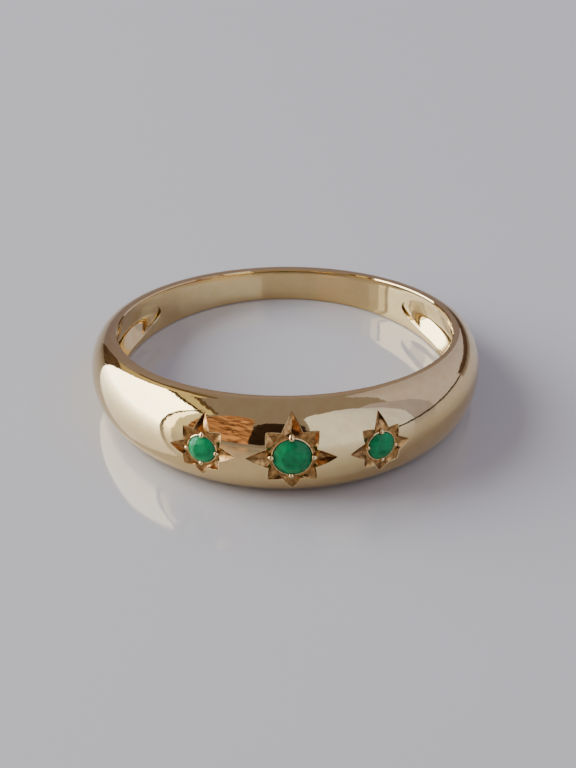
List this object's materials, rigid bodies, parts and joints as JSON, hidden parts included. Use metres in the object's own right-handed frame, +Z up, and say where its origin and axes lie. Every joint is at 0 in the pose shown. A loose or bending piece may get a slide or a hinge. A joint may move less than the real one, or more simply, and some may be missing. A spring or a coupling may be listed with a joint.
{
  "type": "flush set gypsy ring",
  "caption": "Domed gold finger ring, hollow behind the dome, with three green stones flush set in eight-pointed star cuts.",
  "frame": {"origin": "on the surface that the ring lies on, under the middle of its bounding box", "axes": "+Z up, +Y from the domed front towards the narrow back, +X to the right of the front as seen from outside"},
  "size_m": [0.0202, 0.0208, 0.0051],
  "materials": {
    "gold": "polished",
    "emerald": "polished"
  },
  "bodies": {
    "root": {"band": "gold", "centre_emerald": "emerald", "left_emerald": "emerald", "right_emerald": "emerald"}
  },
  "joints": []
}
